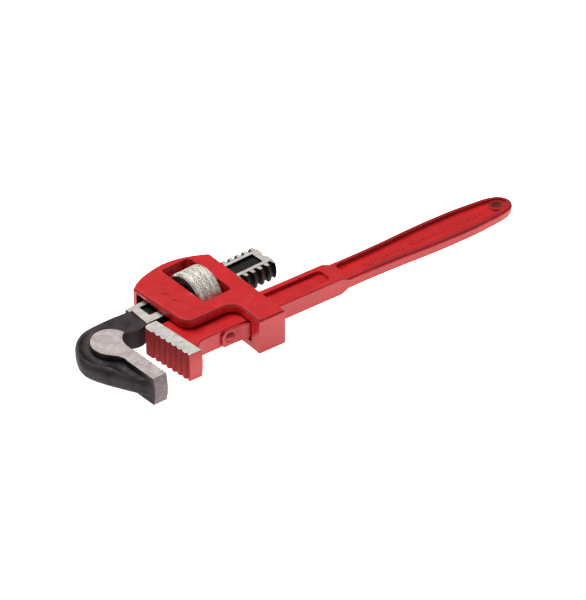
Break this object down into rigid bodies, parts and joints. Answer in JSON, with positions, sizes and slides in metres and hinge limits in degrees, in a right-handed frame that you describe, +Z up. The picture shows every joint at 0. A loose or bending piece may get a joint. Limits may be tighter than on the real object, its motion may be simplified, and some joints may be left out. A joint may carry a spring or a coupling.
{
  "type": "pipe wrench",
  "caption": "Stillson pipe wrench: red cast handle bar and frame, black forged hook jaw with threaded shank, knurled adjusting nut.",
  "frame": {"origin": "middle of the underside of the whole wrench's box; the underside is the lowest point of the adjusting nut, which stands 5.3 mm proud of the frame's cheeks", "axes": "+X along the handle towards the hang hole, +Y from the handle towards the hook jaw's shank, +Z up from the face it lies on"},
  "size_m": [0.3399, 0.0996, 0.0372],
  "materials": {
    "red_paint": "semi-gloss paint on a cast surface",
    "black_forging": "blackened forging with ground lands",
    "nut_steel": "bright, finely knurled"
  },
  "bodies": {
    "bar": {"handle_bar": "red_paint", "right_leaf_spring": "red_paint", "right_spring_rivet": "red_paint", "left_leaf_spring": "red_paint", "left_spring_rivet": "red_paint"},
    "frame": {"frame": "red_paint", "frame_pin": "red_paint"},
    "jaw": {"hook_jaw": "black_forging"},
    "nut": {"adjusting_nut": "nut_steel"}
  },
  "joints": [
    {"name": "frame_rock", "type": "hinge", "parent": "bar", "child": "frame", "pos_m": [-0.04985, -0.01719, 0.0186], "axis": [0, 0, 1], "range_deg": [-3, 1], "stiffness_Nm_per_rad": 20},
    {"name": "jaw_slide", "type": "slide", "parent": "frame", "child": "jaw", "axis": [0.9984, 0.0558, 0], "range_m": [-0.027, 0.018]},
    {"name": "nut_spin", "type": "hinge", "parent": "frame", "child": "nut", "pos_m": [-0.06445, 0.02211, 0.0186], "axis": [0.9984, 0.0558, 0], "range_deg": [-1100, 1640]}
  ],
  "couplings": [
    {"joint": "nut_spin", "follows": "jaw_slide", "rad_per_m": -1047.2}
  ]
}
